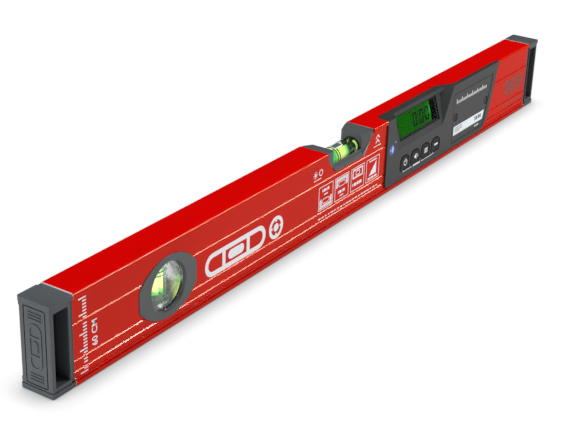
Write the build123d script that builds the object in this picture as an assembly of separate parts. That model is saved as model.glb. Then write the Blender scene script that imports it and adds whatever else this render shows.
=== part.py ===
from build123d import *

import math
import os

# A 600 mm digital spirit level: an aluminium box profile with rubber-shod end caps, a plumb vial, a top-edge
# level vial and a battery-powered inclinometer module. Millimetres. The origin is the centre of the bottom
# measuring face, X runs along the profile, the front with the display faces -Y and Z is up.

# ---- driving dimensions ----
profile_length = 600.0
profile_height = 60.0
profile_width = 25.6

flange_height = 3.0
web_recess = 1.3
web_wall = 1.8
flange_wall = 2.8
cavity_corner = 2.0
groove_width = 1.2
groove_depth = 0.6
groove_heights = (9.1, 16.3, 40.2)
bead_height = 1.2
bead_gap = 0.8

cap_length = 19.0
cap_collar = 3.0
cap_plug_length = 16.0
cap_inset = 0.35
cap_wall = 1.8
cap_pocket_edge = 0.9
cap_pocket_outer_edge = 2.6
cap_pocket_height_margin = 6.0
cap_lip = 0.5
plug_clearance = 0.25

vial_diameter = 15.0
vial_bore = 11.0
vial_plug_length = 3.0
vial_seat_depth = 3.5
bubble_diameter = 5.0
bubble_length = 12.0
bubble_clearance = 0.2
ring_width = 0.8
ring_depth = 0.3

plumb_x = -213.8
plumb_z = 29.0
plumb_half_length = 28.2
plumb_half_height = 21.3
plumb_arc_radius = 35.3
plumb_corner = 6.0
window_radius = 17.2
plumb_plate_proud = 0.5
plumb_plate_thickness = 2.1
plumb_body_wall = 3.0
lens_thickness = 1.5
lens_dome = 0.9

notch_x = -2.0
notch_half_top = 32.0
notch_half_floor = 20.5
notch_floor_z = 42.0
notch_shoulder_z = 56.5
notch_corner = 2.5
top_vial_z = 47.4
saddle_half_window = 19.5
saddle_ridge_drop = 1.6
saddle_front_bevel = 2.5

module_x = 50.5
module_length = 188.5
module_foot_z = 3.8
module_right_lean = 0.31
module_depth = 19.0
module_wall = 1.8
module_front_wall = 2.4
rim_overlap = 1.6
module_chamfer_width = 9.5
module_chamfer_height = 8.7
rear_cover_thickness = 1.6
rear_screw_length = 3.4
fit_gap = 0.2
roof_depth = 12.3
roof_step_depth = 3.3

well_left = 18.0
well_right = 90.0
well_foot_z = 31.0
well_head_depth = 8.8
well_left_lean = 7.5
well_right_lean = 16.0
well_back_wall = 1.9
visor_thickness = 3.2
visor_reach = 2.4
window_width = 64.0
window_thickness = 1.0
window_foot = 5.5
window_height = profile_height - well_foot_z - window_foot - 3.5
lcd_thickness = 1.8
backlight_thickness = 2.0

button_names = ("power", "sound", "unit", "hold")
button_first = 30.0
button_pitch = 16.7
button_width = 13.4
button_height = 11.4
button_z = 16.5
button_gap = 0.3
button_travel = 0.8
button_moat = 1.6
moat_depth = 1.2

cover_left = 108.0
cover_foot_z = 8.3
cover_head_z = profile_height - 8.8
cell_diameter = 10.5
cell_length = module_length - cover_left - 36.0
cell_foot_gap = 3.55
cover_edge_margin = 6.8
cover_thickness = 1.6
cover_ledge = 2.0
cover_screw_inset = 4.6
cover_screw_z = (cover_foot_z + cover_head_z) / 2 + 0.45
screw_radius = 1.25
screw_head_radius = 2.75
screw_clearance = 0.3
label_height = 7.7
label_thickness = 0.1

board_thickness = 1.6
rear_boss_radius = 2.4
rear_screw_low_z = 20.0
rear_screw_head_gap = 12.0

# ---- derived places ----
half_length = profile_length / 2
front = -profile_width / 2
back = profile_width / 2
web_front = front + web_recess
web_back = back - web_recess
cavity_half = web_back - web_wall
cavity_low = flange_wall
cavity_high = profile_height - flange_wall
module_top = profile_height - fit_gap
roof_foot = cavity_high - 0.8


# ---- small helpers ----
def block(x0, x1, y0, y1, z0, z1):
    """Box between two opposite corners."""
    return Pos((x0 + x1) / 2, (y0 + y1) / 2, (z0 + z1) / 2) * Box(x1 - x0, y1 - y0, z1 - z0)


def rod(x, y, z, radius, length, axis):
    """Cylinder of a length centred on a point, along the named axis."""
    turn = {"x": Rot(0, 90, 0), "y": Rot(90, 0, 0), "z": Rot(0, 0, 0)}[axis]
    return Pos(x, y, z) * turn * Cylinder(radius, length)


def outline(points):
    """Closed polygon; a point with a third value has its corner rounded to that radius."""
    shape = Polygon(*[p[:2] for p in points], align=None)
    for x, y, radius in [p for p in points if len(p) == 3]:
        corner = shape.vertices().sort_by_distance((x, y, 0))[0]
        shape = fillet(corner, radius)
    return shape


def front_prism(shape, y0, y1):
    """Extrudes a front view, drawn as X and Z, from depth y0 to depth y1."""
    view = Plane(origin=(0, y0, 0), x_dir=(1, 0, 0), z_dir=(0, -1, 0)) * shape
    return extrude(view, y1 - y0, dir=(0, 1, 0))


def side_prism(shape, x0, x1):
    """Extrudes an end view, drawn as Y and Z, from x0 to x1."""
    view = Plane(origin=(x0, 0, 0), x_dir=(0, 1, 0), z_dir=(1, 0, 0)) * shape
    return extrude(view, x1 - x0, dir=(1, 0, 0))


def plan_prism(shape, z0, z1):
    """Extrudes a plan view from height z0 to height z1."""
    return extrude(Pos(0, 0, z0) * shape, z1 - z0, dir=(0, 0, 1))


def group(shapes):
    """Several separate solids as one shape."""
    together = shapes[0]
    for shape in shapes[1:]:
        together += shape
    return together


# ---- the aluminium profile ----
def profile_section():
    """Box section with proud measuring flanges, a bead above the lower one and web grooves."""
    section = Rectangle(2 * web_back, profile_height, align=(Align.CENTER, Align.MIN))
    for z in (0, profile_height - flange_height):
        section += Pos(0, z) * Rectangle(profile_width, flange_height, align=(Align.CENTER, Align.MIN))
    bead_z = flange_height + bead_gap
    section += Pos(0, bead_z) * Rectangle(
        profile_width - web_recess, bead_height, align=(Align.CENTER, Align.MIN)
    )
    corners = section.vertices()
    section = fillet(corners.group_by(Axis.Y)[-1], 1.5)
    section = fillet(section.vertices().group_by(Axis.Y)[0], 0.8)
    for z in groove_heights:
        for side in (-1, 1):
            groove = Pos(side * web_back, z) * Rot(0, 0, 45) * Rectangle(
                groove_width / math.sqrt(2), groove_width / math.sqrt(2)
            )
            section -= groove
    cavity = Pos(0, (cavity_low + cavity_high) / 2) * RectangleRounded(
        2 * cavity_half, cavity_high - cavity_low, cavity_corner
    )
    return section - cavity


def plumb_outline(grow):
    """Barrel-shaped outline of the plumb window, grown outwards by an amount."""
    shift = plumb_arc_radius - plumb_half_height
    shape = Circle(plumb_arc_radius + grow) & Pos(0, 2 * shift) * Circle(plumb_arc_radius + grow)
    shape = Pos(0, -shift) * shape
    shape &= Rectangle(2 * (plumb_half_length + grow), 2 * plumb_arc_radius)
    shape = fillet(shape.vertices(), plumb_corner + grow)
    return Pos(plumb_x, plumb_z) * shape


def notch_outline(shrink):
    """Front view of the notch in the top edge, made smaller all round by an amount."""
    top = profile_height + 1 - shrink
    floor = notch_floor_z + shrink
    half_top = notch_half_top - shrink
    half_floor = notch_half_floor - shrink
    points = [(half_top, top), (half_top, notch_shoulder_z), (half_floor, floor, notch_corner)]
    mirrored = [(-p[0], *p[1:]) for p in reversed(points)]
    return Pos(notch_x, 0) * outline(points + mirrored)


def lean_x(z):
    """Place of the module's slanted right edge at a height, from the module's left edge."""
    return module_length - (profile_height - z) * module_right_lean


def module_outline(inset, top):
    """Front view of the module's bezel, pulled in all round by an amount, up to a top height."""
    foot = module_foot_z + inset
    chamfer_z = foot + module_chamfer_height
    corner_x = lean_x(chamfer_z) - inset
    points = [
        (inset, top),
        (inset, foot, 4.0),
        (corner_x - module_chamfer_width, foot, 3.0),
        (corner_x, chamfer_z, 3.0),
        (lean_x(top) - inset, top),
    ]
    return Pos(module_x, 0) * outline(points)


def roof_outline(grow):
    """Plan of the module's roof where it comes up through the profile's top wall."""
    step_x = 95.5
    edge = front if grow == 0 else front - 1
    deep = front + roof_depth + grow
    shallow = front + roof_step_depth + grow
    points = [
        (-grow, edge),
        (-grow, deep, 6.0),
        (step_x + grow, deep, 2.5),
        (step_x + 15.0 + grow, shallow, 2.5),
        (module_length + grow, shallow, 2.5),
        (module_length + grow, edge),
    ]
    return Pos(module_x, 0) * outline(points)


def make_profile():
    body = side_prism(profile_section(), -half_length, half_length)
    body -= front_prism(plumb_outline(fit_gap / 2), front - 1, back + 1)
    body -= front_prism(notch_outline(0), front - 1, back + 1)
    opening = module_outline(rim_overlap, profile_height + 1)
    body -= front_prism(opening, front - 1, front + roof_step_depth)
    corner_back = cavity_corner + fit_gap - cavity_half
    body -= front_prism(module_outline(rim_overlap, cavity_high), front - 1, corner_back)
    body -= front_prism(module_outline(-fit_gap, profile_height + 1), front - 1, web_front)
    return body - plan_prism(roof_outline(fit_gap), roof_foot - fit_gap, profile_height + 1)


# ---- end caps ----
def cap_collar_outline():
    """Collar against the profile's cut end, a little inside the profile's own outline."""
    half = back - cap_inset
    waist = web_back - cap_inset
    low = cap_inset
    high = profile_height - cap_inset
    points = [
        (half, high, 1.2), (half, high - flange_height), (waist, high - flange_height),
        (waist, low + flange_height), (half, low + flange_height), (half, low, 0.6),
    ]
    return outline(points + [(-p[0], *p[1:]) for p in reversed(points)])


def make_cap(side):
    """End cap with finger pockets in both faces and a hollow plug inside the profile."""
    low = cap_inset
    high = profile_height - cap_inset
    half = web_back + cap_lip
    cap = side_prism(cap_collar_outline(), 0, cap_collar)
    body = block(cap_collar, cap_length - cap_lip, -half, half, low, high)
    body = fillet(body.edges().filter_by(Axis.Z).group_by(Axis.X)[-1], 1.0)
    cap += body
    for z0, z1 in ((low, low + flange_height), (high - flange_height, high)):
        lip = block(cap_collar, cap_length, -half - cap_lip, half + cap_lip, z0, z1)
        cap += fillet(lip.edges().filter_by(Axis.Z).group_by(Axis.X)[-1], 1.2)
    pocket_x0 = cap_collar + cap_pocket_edge
    pocket_x1 = cap_length - cap_lip - cap_pocket_outer_edge
    pocket = Pos((pocket_x0 + pocket_x1) / 2, profile_height / 2) * RectangleRounded(
        pocket_x1 - pocket_x0, profile_height - 2 * cap_pocket_height_margin, 0.8
    )
    for y0, y1 in ((front - 1, -cap_wall / 2), (cap_wall / 2, back + 1)):
        cap -= front_prism(pocket, y0, y1)
    panel = RectangleRounded(2 * half - 7.0, profile_height - 9.5, 1.5)
    panel -= RectangleRounded(2 * half - 8.4, profile_height - 10.9, 0.8)
    panel = Pos(0, profile_height / 2) * panel
    cap -= side_prism(panel, cap_length - cap_lip - 0.6, cap_length + 1)
    plug = Pos(0, (cavity_low + cavity_high) / 2) * RectangleRounded(
        2 * (cavity_half - plug_clearance), cavity_high - cavity_low - 2 * plug_clearance, cavity_corner
    )
    hollow = offset(plug, amount=-cap_wall)
    cap += side_prism(plug - hollow, -cap_plug_length, 0)
    for z in stopper_heights():
        cap -= rod(stopper_x(), half, z, 1.2, 4.0, "y")
    return place_at_end(cap, side)


def place_at_end(shape, side):
    """Puts a shape drawn outwards from x = 0 on the profile's right end, or mirrored on its left."""
    if side < 0:
        shape = mirror(shape, about=Plane.YZ)
    return Pos(side * half_length, 0, 0) * shape


def stopper_heights():
    return (cap_inset + flange_height + 1.9, profile_height - cap_inset - flange_height - 1.9)


def stopper_x():
    return cap_length - cap_lip - 3.2


def make_stoppers(side):
    """Soft pads on the back of a cap that stop the level from slipping, each with a peg."""
    half = web_back + cap_lip
    pads = []
    for z in stopper_heights():
        pad = block(stopper_x() - 2.4, stopper_x() + 2.4, half, half + 1.1, z - 1.6, z + 1.6)
        pad = fillet(pad.faces().sort_by(Axis.Y)[-1].edges(), 0.6)
        pad += rod(stopper_x(), half - 1.0, z, 1.2, 2.0, "y")
        pads.append(place_at_end(pad, side))
    return group(pads)


# ---- vials, each drawn along X about the origin ----
def vial_tube(length):
    tube = rod(0, 0, 0, vial_diameter / 2, length, "x") - rod(0, 0, 0, vial_bore / 2, length + 2, "x")
    tube = chamfer(tube.edges().filter_by(GeomType.CIRCLE).group_by(SortBy.RADIUS)[-1], 0.5)
    for x in ring_places():
        tube -= ring_at(x)
    return tube


def ring_places():
    """Two pairs of graduation rings either side of the bubble."""
    inner = bubble_length / 2 + 0.6
    return (-inner - 2.6, -inner, inner, inner + 2.6)


def ring_at(x):
    outer = rod(x, 0, 0, vial_diameter / 2, ring_width, "x")
    return outer - rod(x, 0, 0, vial_diameter / 2 - ring_depth, ring_width + 1, "x")


def vial_rings():
    return group([ring_at(x) for x in ring_places()])


def vial_plugs(length):
    """Stoppers that seal both ends of the bore."""
    inset = (length - vial_plug_length) / 2
    return group([rod(s * inset, 0, 0, vial_bore / 2, vial_plug_length, "x") for s in (-1, 1)])


def bubble_reach(length):
    """How far the bubble can travel from the middle of a vial of this length."""
    return length / 2 - vial_plug_length - bubble_length / 2 - bubble_clearance


def vial_fluid(length):
    """Fluid with the space along its top that the bubble takes up over its whole travel."""
    fluid = rod(0, 0, 0, vial_bore / 2, length - 2 * vial_plug_length, "x")
    radius = bubble_diameter / 2 + 2 * bubble_clearance
    return fluid - rod(0, 0, bubble_lift() + bubble_clearance, radius, length, "x")


def bubble_lift():
    return vial_bore / 2 - bubble_diameter / 2 - bubble_clearance


def vial_bubble():
    bubble = rod(0, 0, bubble_lift(), bubble_diameter / 2, bubble_length, "x")
    return fillet(bubble.edges().filter_by(GeomType.CIRCLE), bubble_diameter / 2 - 0.05)


# ---- plumb vial, its axis upright ----
plumb_vial_length = 2 * (window_radius - 1.0) + 2 * vial_seat_depth - 4.0


def place_plumb(shape):
    """Turns a vial drawn along X upright, with the bubble's side to the front."""
    return Pos(plumb_x, 0, plumb_z) * Rot(0, 0, 90) * Rot(0, -90, 0) * shape


def make_plumb_plate(side):
    """Cover plate that fills the web opening, with a bevelled round window."""
    outer = side * (web_back + plumb_plate_proud)
    inner = side * (web_back + plumb_plate_proud - plumb_plate_thickness)
    plate = front_prism(plumb_outline(0), min(outer, inner), max(outer, inner))
    plate = chamfer(plate.faces().sort_by(Axis.Y)[0 if side < 0 else -1].edges(), 0.3)
    cone = Cone(window_radius, window_radius - 1.0, plumb_plate_thickness)
    turn = Rot(-90, 0, 0) if side < 0 else Rot(90, 0, 0)
    return plate - Pos(plumb_x, (outer + inner) / 2, plumb_z) * turn * cone


def plumb_body_half():
    return web_back + plumb_plate_proud - plumb_plate_thickness


def make_plumb_body():
    """Ring between the two plates that carries the vial's ends and the lenses."""
    bore = window_radius - 1.0
    half = plumb_body_half()
    body = rod(plumb_x, 0, plumb_z, bore + plumb_body_wall, 2 * half, "y")
    body -= rod(plumb_x, 0, plumb_z, bore, 2 * half + 2, "y")
    for side in (-1, 1):
        seat_y = side * (half - lens_thickness / 2)
        body -= rod(plumb_x, seat_y, plumb_z, bore + 1.2, lens_thickness, "y")
    for side in (-1, 1):
        socket_z = plumb_z + side * (bore - 1.5)
        pad = rod(plumb_x, 0, socket_z, vial_diameter / 2 + 1.2, 5.0, "z")
        pad &= block(plumb_x - 20, plumb_x + 20, -half + lens_thickness, half - lens_thickness, 0, 60)
        body += pad & rod(plumb_x, 0, plumb_z, bore + 0.5, 2 * half, "y")
    return body - rod(plumb_x, 0, plumb_z, vial_diameter / 2, plumb_vial_length, "z")


def make_plumb_lens(side):
    """Clear, slightly domed lens behind the plate's window."""
    half = plumb_body_half()
    radius = window_radius - 1.0
    lens = rod(plumb_x, side * (half - lens_thickness / 2), plumb_z, radius + 1.2, lens_thickness, "y")
    sphere_radius = (radius**2 + lens_dome**2) / (2 * lens_dome)
    dome = Pos(plumb_x, side * (half + lens_dome - sphere_radius), plumb_z) * Sphere(sphere_radius)
    reach = sorted((side * half, side * (half + lens_dome + 1)))
    lens += dome & block(plumb_x - 20, plumb_x + 20, *reach, 0, profile_height)
    return lens - rod(plumb_x, 0, plumb_z, vial_diameter / 2 + bubble_clearance, profile_height, "z")


# ---- level vial in its saddle ----
top_vial_length = 2 * saddle_half_window + 2 * vial_seat_depth


def place_top(shape):
    return Pos(notch_x, 0, top_vial_z) * shape


def make_saddle():
    """Holder that fills the notch and carries the level vial open to the top, front and back."""
    body = front_prism(notch_outline(0.1), web_front, web_back)
    body &= block(-half_length, half_length, front, back, 0, module_top)
    keel_half = notch_half_floor - 1.0
    body += block(
        notch_x - keel_half, notch_x + keel_half, -cavity_half + 0.2, cavity_half - 0.2,
        top_vial_z - vial_diameter / 2 - 2.5, notch_floor_z + 1.0,
    )
    window = saddle_half_window
    body -= block(notch_x - window, notch_x + window, front, back, top_vial_z, profile_height + 1)
    sill = notch_floor_z + 2.6
    inside = web_back - saddle_front_bevel - 0.2
    body -= block(notch_x - window, notch_x + window, -inside, inside, sill, profile_height + 1)
    for side in (-1, 1):
        bevel = [
            (side * web_back, notch_floor_z + 0.6), (side * (web_back - saddle_front_bevel), sill),
            (side * (web_back - saddle_front_bevel), profile_height), (side * (web_back + 1), profile_height),
            (side * (web_back + 1), notch_floor_z + 0.6),
        ]
        body -= side_prism(outline(bevel), notch_x - window, notch_x + window)
        for end in (-1, 1):
            cheek = [
                (notch_x + end * window, side * (web_back - saddle_front_bevel)),
                (notch_x + end * (notch_half_top - 4.0), side * web_back),
                (notch_x + end * window, side * (web_back + 1)),
            ]
            body -= plan_prism(outline(cheek), notch_floor_z, profile_height + 1)
    for end in (-1, 1):
        rim = [
            (notch_x + end * notch_half_top, module_top),
            (notch_x + end * window, module_top - saddle_ridge_drop),
            (notch_x + end * window, profile_height + 1),
            (notch_x + end * notch_half_top, profile_height + 1),
        ]
        body -= front_prism(outline(rim), front, back)
    return body - rod(notch_x, 0, top_vial_z, vial_diameter / 2, top_vial_length, "x")


# ---- display module ----
well_tilt = math.degrees(math.atan2(well_head_depth, profile_height - well_foot_z))


def at_module(shape):
    return Pos(module_x, 0, 0) * shape


def well_wedge(shift, reach):
    """Wedge between the front and the tilted display plane, moved back by a shift."""
    slope = well_head_depth / (profile_height - well_foot_z)
    head = profile_height + 6
    outer = front - 2
    foot_z = well_foot_z + (outer - front - shift) / slope
    points = [(outer, foot_z), (outer + (head - foot_z) * slope, head), (outer, head)]
    return at_module(side_prism(outline(points), -reach, module_length + reach))


def well_cut():
    """Display well with side walls that lean out towards the top and front, under a short visor."""
    rise = (profile_height + 15 - well_foot_z) / (profile_height - well_foot_z)
    points = [
        (well_left, well_foot_z), (well_right, well_foot_z),
        (well_right + rise * well_right_lean, profile_height + 15),
        (well_left - rise * well_left_lean, profile_height + 15),
    ]
    plane = Plane(origin=(0, front, 0), x_dir=(1, 0, 0), z_dir=(0, -1, 0))
    face = plane * outline(points)
    flare = extrude(face, -well_head_depth - 3, taper=45)
    flare += extrude(face, 2)
    flare = at_module(flare)
    visor_z = profile_height - visor_thickness
    well = flare & well_wedge(0, 10) & block(-half_length, half_length, front - 3, back, 0, visor_z)
    over = block(-half_length, half_length, front - 3, back, visor_z, profile_height + 20)
    return well + (flare & well_wedge(-visor_reach, 10) & over)


def tilted(x, along, depth, shape):
    """Places a shape on the display plane: along runs up it from the well's foot, depth goes in."""
    tilt = math.radians(well_tilt)
    y = front + along * math.sin(tilt) + depth * math.cos(tilt)
    z = well_foot_z + along * math.cos(tilt) - depth * math.sin(tilt)
    return Pos(module_x + x, y, z) * Rot(-well_tilt, 0, 0) * shape


def display_slab(width, height, depth, thickness):
    """Slab parallel to the display plane, its face at a depth behind that plane."""
    middle = (well_left + well_right) / 2 + 1.0
    slab = Box(width, thickness, height)
    return tilted(middle, window_foot + window_height / 2, depth + thickness / 2, slab)


def button_x(index):
    return module_x + button_first + index * button_pitch


def button_outline(grow):
    """Button with a domed top and nearly square foot, centred on the origin."""
    half = button_width / 2 + grow
    low = -button_height / 2 - grow
    high = button_height / 2 + grow
    return outline([(half, low, 1.2), (half, high, 5.0), (-half, high, 5.0), (-half, low, 1.2)])


def cover_outline(inset):
    """Front view of the battery cover, pulled in by an amount."""
    left = cover_left + inset
    foot = cover_foot_z + inset
    head = cover_head_z - inset
    shift = cover_edge_margin + inset
    points = [
        (left, foot, 0.8), (lean_x(foot) - shift, foot, 2.5),
        (lean_x(head) - shift, head, 1.5), (left, head, 1.5),
    ]
    return Pos(module_x, 0) * outline(points)


def cover_screw_places():
    right = lean_x(cover_screw_z) - cover_edge_margin - cover_screw_inset
    return [module_x + cover_left + cover_screw_inset, module_x + right]


cover_front = front + 0.1
cover_back = cover_front + cover_thickness
gasket_thickness = 0.6
ledge_y = cover_back + gasket_thickness
module_back = front + module_depth
bay_floor_y = front + 13.4
inner_top = cavity_high - 2 * fit_gap
button_wall_y = front + module_front_wall
key_board_y = front + 7.6
circuit_board_y = front + 13.8


def inner_outline(inset):
    return module_outline(rim_overlap + fit_gap + inset, inner_top - inset)


def make_housing():
    """Front shell: bezel over the web, box inside the profile, roof through the top wall."""
    body = front_prism(module_outline(0, module_top), front, web_front)
    body += front_prism(inner_outline(0), front, module_back)
    body += plan_prism(roof_outline(0), roof_foot, module_top)
    partition = module_x + cover_left - 0.5
    cavity = front_prism(inner_outline(module_wall), button_wall_y, module_back + 1)
    electronics = cavity & block(module_x, partition - module_wall, front, back, 0, profile_height)
    electronics -= well_wedge(well_back_wall / math.cos(math.radians(well_tilt)), 0)
    body -= electronics
    bay = front_prism(cover_outline(cover_ledge), front - 1, bay_floor_y)
    for x in cover_screw_places():
        bay -= rod(x, 0, cover_screw_z, 3.3, 2 * profile_width, "y")
    body -= bay
    body -= front_prism(cover_outline(-fit_gap), front - 1, ledge_y)
    service = cavity & block(partition, module_x + module_length, bay_floor_y + 1.0, back, 0, profile_height)
    body -= service
    for x in cover_screw_places():
        body -= rod(x, ledge_y + 4.0, cover_screw_z, screw_radius + screw_clearance, 8.0, "y")
    body -= well_cut()
    body -= display_slab(window_width + 0.4, window_height + 0.4, 0, window_thickness)
    body -= display_slab(window_width - 4.0, window_height - 3.0, 0, well_back_wall + 2)
    for index in range(len(button_names)):
        body = cut_button(body, button_x(index))
    for x, z in board_post_places():
        post = rod(x, (button_wall_y + circuit_board_y) / 2, z, 2.2, circuit_board_y - button_wall_y, "y")
        body += post
        body -= rod(x, circuit_board_y - 3.0, z, 0.8, 6.0, "y")
    boss_y = (bay_floor_y + module_back) / 2
    for x, z in rear_screw_places():
        body += rod(x, boss_y, z, rear_boss_radius, module_back - bay_floor_y, "y")
        body -= rod(x, module_back - rear_screw_length / 2, z, 0.8, rear_screw_length, "y")
    return body


def cut_button(body, x):
    """Button hole, with the shallow moat along its left and top."""
    shape = button_outline(button_gap)
    moat = Pos(-button_moat, button_moat * 0.8) * button_outline(0)
    body -= front_prism(Pos(x, button_z) * shape, front - 1, button_wall_y + 1)
    return body - front_prism(Pos(x, button_z) * moat, front - 1, front + moat_depth)


def board_post_places():
    return [(module_x + 12.0, 12.0), (module_x + 100.5, 12.0), (module_x + 100.5, 30.0)]


def rear_screw_places():
    """Bosses that lean against the inner box's left wall, the partition and the right wall."""
    inset = rim_overlap + fit_gap + module_wall + 1.8
    middle = cover_left - 0.5 - module_wall - 1.8
    places = []
    for z in (rear_screw_low_z, profile_height - rear_screw_head_gap):
        places += [(module_x + inset, z), (module_x + middle, z), (module_x + lean_x(z) - inset, z)]
    return places


def machine_screw(x, y, z, length, radius, head_radius, head_height, direction):
    """Pan-head screw with its head's underside at y; its shank runs towards direction."""
    shank = rod(x, y + direction * length / 2, z, radius, length, "y")
    head = rod(x, y - direction * head_height / 2, z, head_radius, head_height, "y")
    rim = head.faces().sort_by(Axis.Y)[0 if direction > 0 else -1].edges()
    head = fillet(rim, head_height * 0.35)
    for turn in (0, 90):
        slot = Rot(0, turn, 0) * Box(head_radius * 1.2, head_height, head_height * 0.35)
        head -= Pos(x, y - direction * head_height, z) * slot
    return shank + head


def make_rear_cover():
    cover = front_prism(inner_outline(0), module_back, module_back + rear_cover_thickness)
    cover = chamfer(cover.faces().sort_by(Axis.Y)[-1].edges(), 0.4)
    for x, z in rear_screw_places():
        cover -= rod(x, module_back, z, 1.2, 4.0, "y")
    return cover


def make_circuit_board():
    edge = module_wall + 0.4
    right = module_x + cover_left - 0.5 - module_wall - 0.4
    board = front_prism(inner_outline(edge), circuit_board_y, circuit_board_y + board_thickness)
    board &= block(module_x, right, front, back, 0, inner_top)
    for x, z in board_post_places():
        board -= rod(x, circuit_board_y, z, 1.1, 4.0, "y")
    for x, z in rear_screw_places():
        board -= rod(x, circuit_board_y, z, rear_boss_radius + 0.4, 4.0, "y")
    return board


def make_display_frame():
    """Rectangular clip frame that holds the panel and its backlight to the tilted wall."""
    depth = well_back_wall
    thickness = lcd_thickness + backlight_thickness + 0.6
    frame = display_slab(window_width - 0.4, window_height - 0.2, depth, thickness)
    frame -= display_slab(window_width - 1.8, window_height - 1.4, depth, thickness - 0.6)
    return frame - display_slab(window_width - 12.0, window_height - 8.0, depth, thickness + 1)


def make_button(index):
    """Key cap with a retaining flange behind the wall and a stem to its switch."""
    x = button_x(index)
    cap = front_prism(Pos(x, button_z) * button_outline(0), front + 0.2, button_wall_y + 0.2)
    cap = fillet(cap.faces().sort_by(Axis.Y)[0].edges(), 0.5)
    cap += front_prism(Pos(x, button_z) * button_outline(1.0), button_wall_y + 0.2, button_wall_y + 1.0)
    return cap + rod(x, button_wall_y + 1.6, button_z, 2.0, 1.2, "y")


stem_end_y = button_wall_y + 2.2
switch_top_y = stem_end_y + button_travel + 0.3


def make_switches():
    """Four tactile switch bodies with a bore for the plunger."""
    switches = []
    for index in range(len(button_names)):
        x = button_x(index)
        body = block(x - 3, x + 3, switch_top_y, key_board_y, button_z - 3, button_z + 3)
        body = chamfer(body.edges().filter_by(Axis.Y), 0.4)
        bore_end = switch_top_y + 1.5
        bore = rod(x, (switch_top_y + bore_end) / 2, button_z, 1.5 + button_gap, bore_end - switch_top_y, "y")
        switches.append(body - bore)
    return group(switches)


def make_plunger(index):
    end_y = switch_top_y + 0.5
    return rod(button_x(index), (stem_end_y + end_y) / 2, button_z, 1.5, end_y - stem_end_y, "y")


def make_key_board():
    low = button_x(0) - 9
    high = button_x(3) + 9
    board = block(low, high, key_board_y, key_board_y + 1.0, 8.5, 24.5)
    return chamfer(board.edges().filter_by(Axis.Y), 1.0)


def make_board_header():
    """Pin header that joins the key board to the main board behind it."""
    x0 = button_x(3) - 12
    y0 = key_board_y + 1.0
    body = block(x0, x0 + 15.2, y0, y0 + 2.0, 18.0, 20.6)
    pins = []
    for pin in range(6):
        x = x0 + 1.4 + pin * 2.48
        pins.append(block(x - 0.3, x + 0.3, y0 + 2.0, circuit_board_y, 19.0, 19.6))
    for pin in pins:
        body += pin
    return body


def board_chip(x, z, width, height, thickness):
    """Package soldered to the back of the main board."""
    y0 = circuit_board_y + board_thickness
    chip = Pos(module_x + x, y0 + thickness / 2, z) * Box(width, thickness, height)
    return chamfer(chip.faces().sort_by(Axis.Y)[-1].edges(), thickness * 0.2)


def make_buzzer():
    y0 = circuit_board_y + board_thickness
    disc = rod(module_x + 82, y0 + 0.6, 36, 4.6, 1.2, "y")
    return disc - rod(module_x + 82, y0 + 1.2, 36, 1.0, 0.8, "y")


def make_board_screws():
    y = circuit_board_y + board_thickness
    return group([machine_screw(x, y, z, 4.5, 0.8, 1.8, 1.0, -1) for x, z in board_post_places()])


def make_rear_screws():
    y = module_back + rear_cover_thickness
    places = rear_screw_places()
    return group([machine_screw(x, y, z, rear_screw_length, 0.8, 1.9, 1.1, -1) for x, z in places])


# ---- battery bay ----
def make_battery_cover():
    cover = front_prism(cover_outline(0), cover_front, cover_back)
    cover = fillet(cover.faces().sort_by(Axis.Y)[0].edges(), 0.3)
    for x in cover_screw_places():
        cover -= rod(x, cover_front + 0.5, cover_screw_z, screw_head_radius + 0.15, 1.2, "y")
        cover -= rod(x, cover_front, cover_screw_z, screw_radius + 0.1, 4.0, "y")
    return cover - label_slab()


def label_slab():
    """Thin rating label let into the cover's face, its right end parallel to the cover's edge."""
    low = cover_foot_z + 6.0
    high = low + label_height
    shift = cover_edge_margin + 3.6
    points = [
        (cover_left + 2.8, low, 0.4), (lean_x(low) - shift, low, 0.4),
        (lean_x(high) - shift, high, 0.4), (cover_left + 2.8, high, 0.4),
    ]
    return front_prism(Pos(module_x, 0) * outline(points), cover_front, cover_front + label_thickness)


def make_gasket():
    ring = cover_outline(0.2) - cover_outline(cover_ledge - 0.2)
    gasket = front_prism(ring, cover_back, cover_back + gasket_thickness)
    for x in cover_screw_places():
        gasket -= rod(x, cover_back, cover_screw_z, screw_head_radius, 4.0, "y")
    return gasket


def make_cover_screws():
    y = cover_front + 1.1
    screws = [
        machine_screw(x, y, cover_screw_z, 7.0, screw_radius, screw_head_radius, 0.9, 1)
        for x in cover_screw_places()
    ]
    return group(screws)


cell_x = (cover_screw_places()[0] + cover_screw_places()[1]) / 2
cell_spread = (cover_head_z - cover_foot_z - cell_diameter) / 2 - cover_ledge - cell_foot_gap
cell_heights = (cover_screw_z - cell_spread, cover_screw_z + cell_spread)
cell_y = ledge_y + 0.4 + cell_diameter / 2


def make_cells():
    """Two cylindrical cells, nose to tail, with their small positive pips."""
    cells = []
    for end, z in zip((1, -1), cell_heights):
        can = rod(cell_x, cell_y, z, cell_diameter / 2, cell_length - 1.0, "x")
        can = fillet(can.edges().filter_by(GeomType.CIRCLE), 0.6)
        pip_x = cell_x + end * (cell_length / 2)
        can += rod(pip_x - end * 0.5, cell_y, z, 1.9, 1.4, "x")
        cells.append(can)
    return group(cells)


def contact_x(end):
    """Inner face of the contact plate at one end of the bay."""
    return cell_x + end * (cell_length / 2 + 1.0)


def make_battery_plates():
    """Sprung sheet contacts at the ends of the cells."""
    plates = []
    for end in (-1, 1):
        for z in cell_heights:
            x0, x1 = sorted((contact_x(end), contact_x(end) + end * 0.4))
            plates.append(block(x0, x1, cell_y - 3.5, cell_y + 3.5, z - 3.2, z + 3.2))
    return group(plates)


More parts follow.
